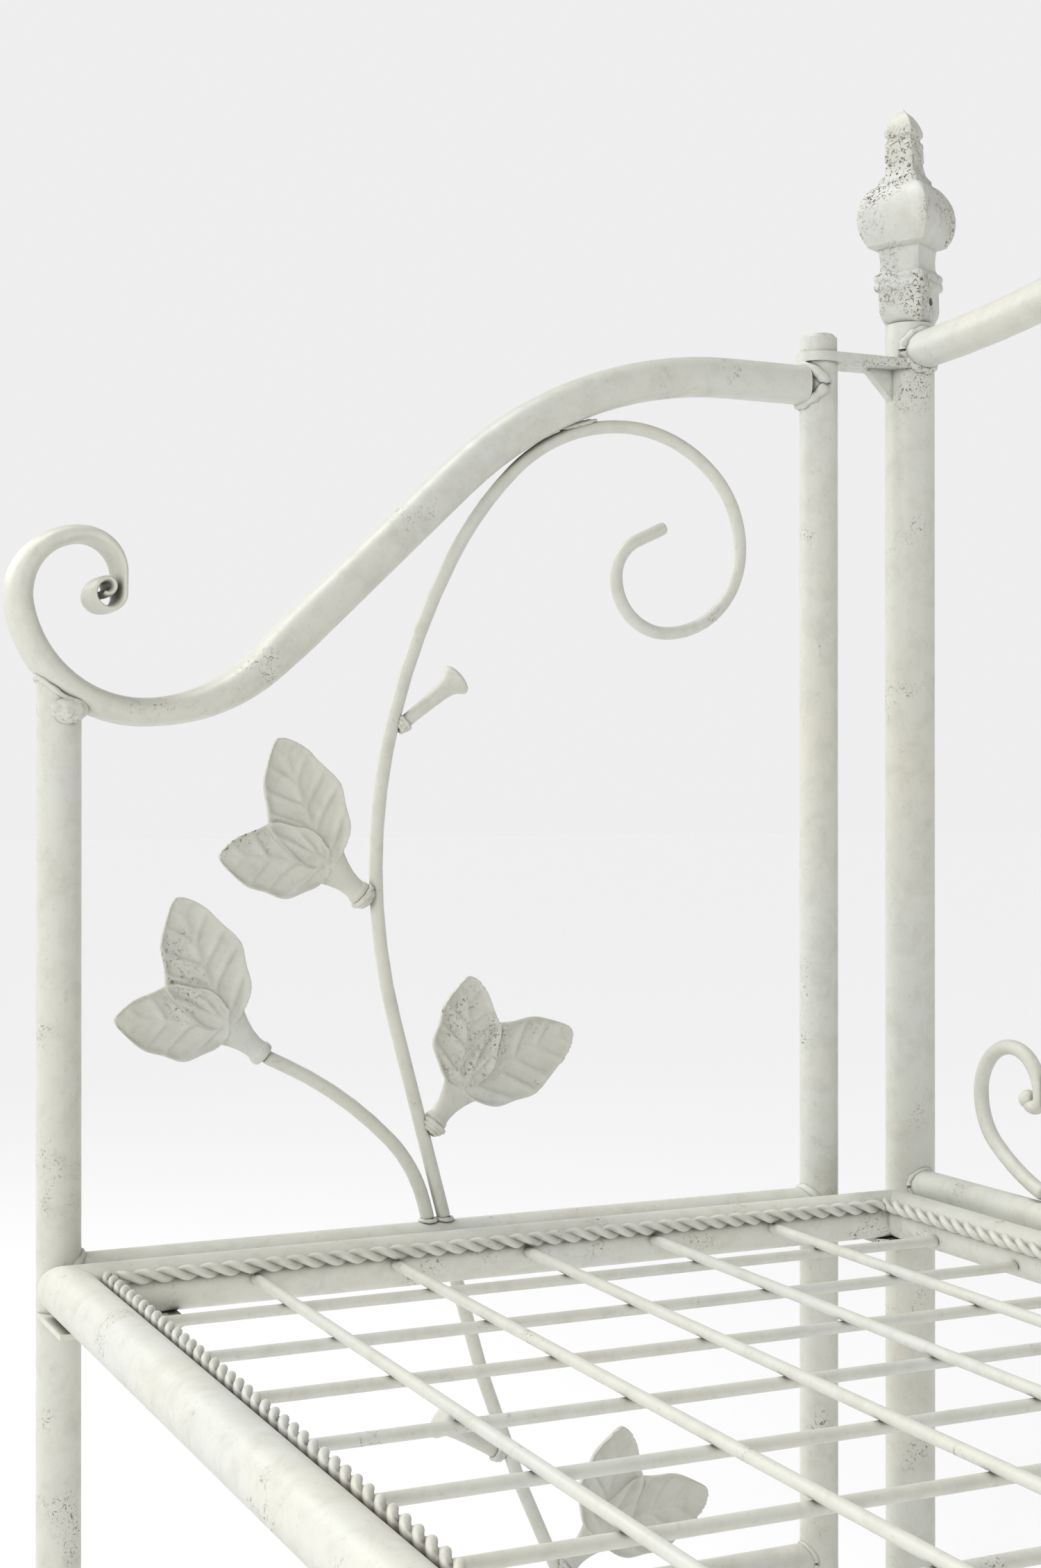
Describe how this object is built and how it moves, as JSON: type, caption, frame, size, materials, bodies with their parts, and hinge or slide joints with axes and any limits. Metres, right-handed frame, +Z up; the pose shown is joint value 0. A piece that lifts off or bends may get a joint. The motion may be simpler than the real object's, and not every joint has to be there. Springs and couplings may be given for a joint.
{
  "type": "daybed",
  "caption": "Metal daybed with scrolled open end panels, leafy vine ornaments, an arched back with finials and a rod lattice seat frame.",
  "frame": {"origin": "on the floor, under the centre of the box round the whole daybed", "axes": "+X along the length, from the left end panel to the right one; +Y towards the back panel; +Z up"},
  "size_m": [2.0506, 0.8162, 1.296],
  "materials": {
    "tube_paint": "antique white paint, satin, on round steel tube",
    "rod_paint": "antique white paint, satin, on round steel rod",
    "cast_paint": "antique white paint on a cast surface",
    "finial_paint": "antique white paint, chipped to brown metal at the edges",
    "fitting_paint": "antique white paint, satin, on welded plate and turned caps",
    "screw_steel": "dark steel grub screw",
    "glide_plastic": "matte moulded plastic"
  },
  "bodies": {
    "root": {"left_front_post": "tube_paint", "left_rear_post": "tube_paint", "left_mid_rail": "tube_paint", "left_lower_rail": "tube_paint", "left_top_rail": "tube_paint", "left_top_scroll": "tube_paint", "left_vine_stem": "rod_paint", "left_vine_branch": "rod_paint", "left_lower_stem": "rod_paint", "left_branch_leaf": "cast_paint", "left_stem_leaf": "cast_paint", "left_base_leaf": "cast_paint", "left_lower_leaf": "cast_paint", "left_buds": "rod_paint", "right_front_post": "tube_paint", "right_rear_post": "tube_paint", "right_mid_rail": "tube_paint", "right_lower_rail": "tube_paint", "right_top_rail": "tube_paint", "right_top_scroll": "tube_paint", "right_vine_stem": "rod_paint", "right_vine_branch": "rod_paint", "right_lower_stem": "rod_paint", "right_branch_leaf": "cast_paint", "right_stem_leaf": "cast_paint", "right_base_leaf": "cast_paint", "right_lower_leaf": "cast_paint", "right_buds": "rod_paint", "left_back_post": "tube_paint", "right_back_post": "tube_paint", "left_back_top_rail": "tube_paint", "right_back_top_rail": "tube_paint", "back_bottom_rail": "tube_paint", "left_back_scrolls": "rod_paint", "right_back_scrolls": "rod_paint", "left_back_boss": "cast_paint", "right_back_boss": "cast_paint", "left_back_vine": "rod_paint", "right_back_vine": "rod_paint", "left_back_leaves": "cast_paint", "right_back_leaves": "cast_paint", "left_finial": "finial_paint", "right_finial": "finial_paint", "finial_screws": "screw_steel", "left_lug": "fitting_paint", "right_lug": "fitting_paint", "left_cap": "fitting_paint", "right_cap": "fitting_paint", "seat_front_tube": "tube_paint", "seat_back_tube": "tube_paint", "seat_left_tube": "tube_paint", "seat_right_tube": "tube_paint", "front_rope": "rod_paint", "back_rope": "rod_paint", "left_rope": "rod_paint", "right_rope": "rod_paint", "lengthwise_rods": "rod_paint", "crosswise_rods": "rod_paint", "support_tabs": "fitting_paint", "leg_glides": "glide_plastic"}
  },
  "joints": []
}
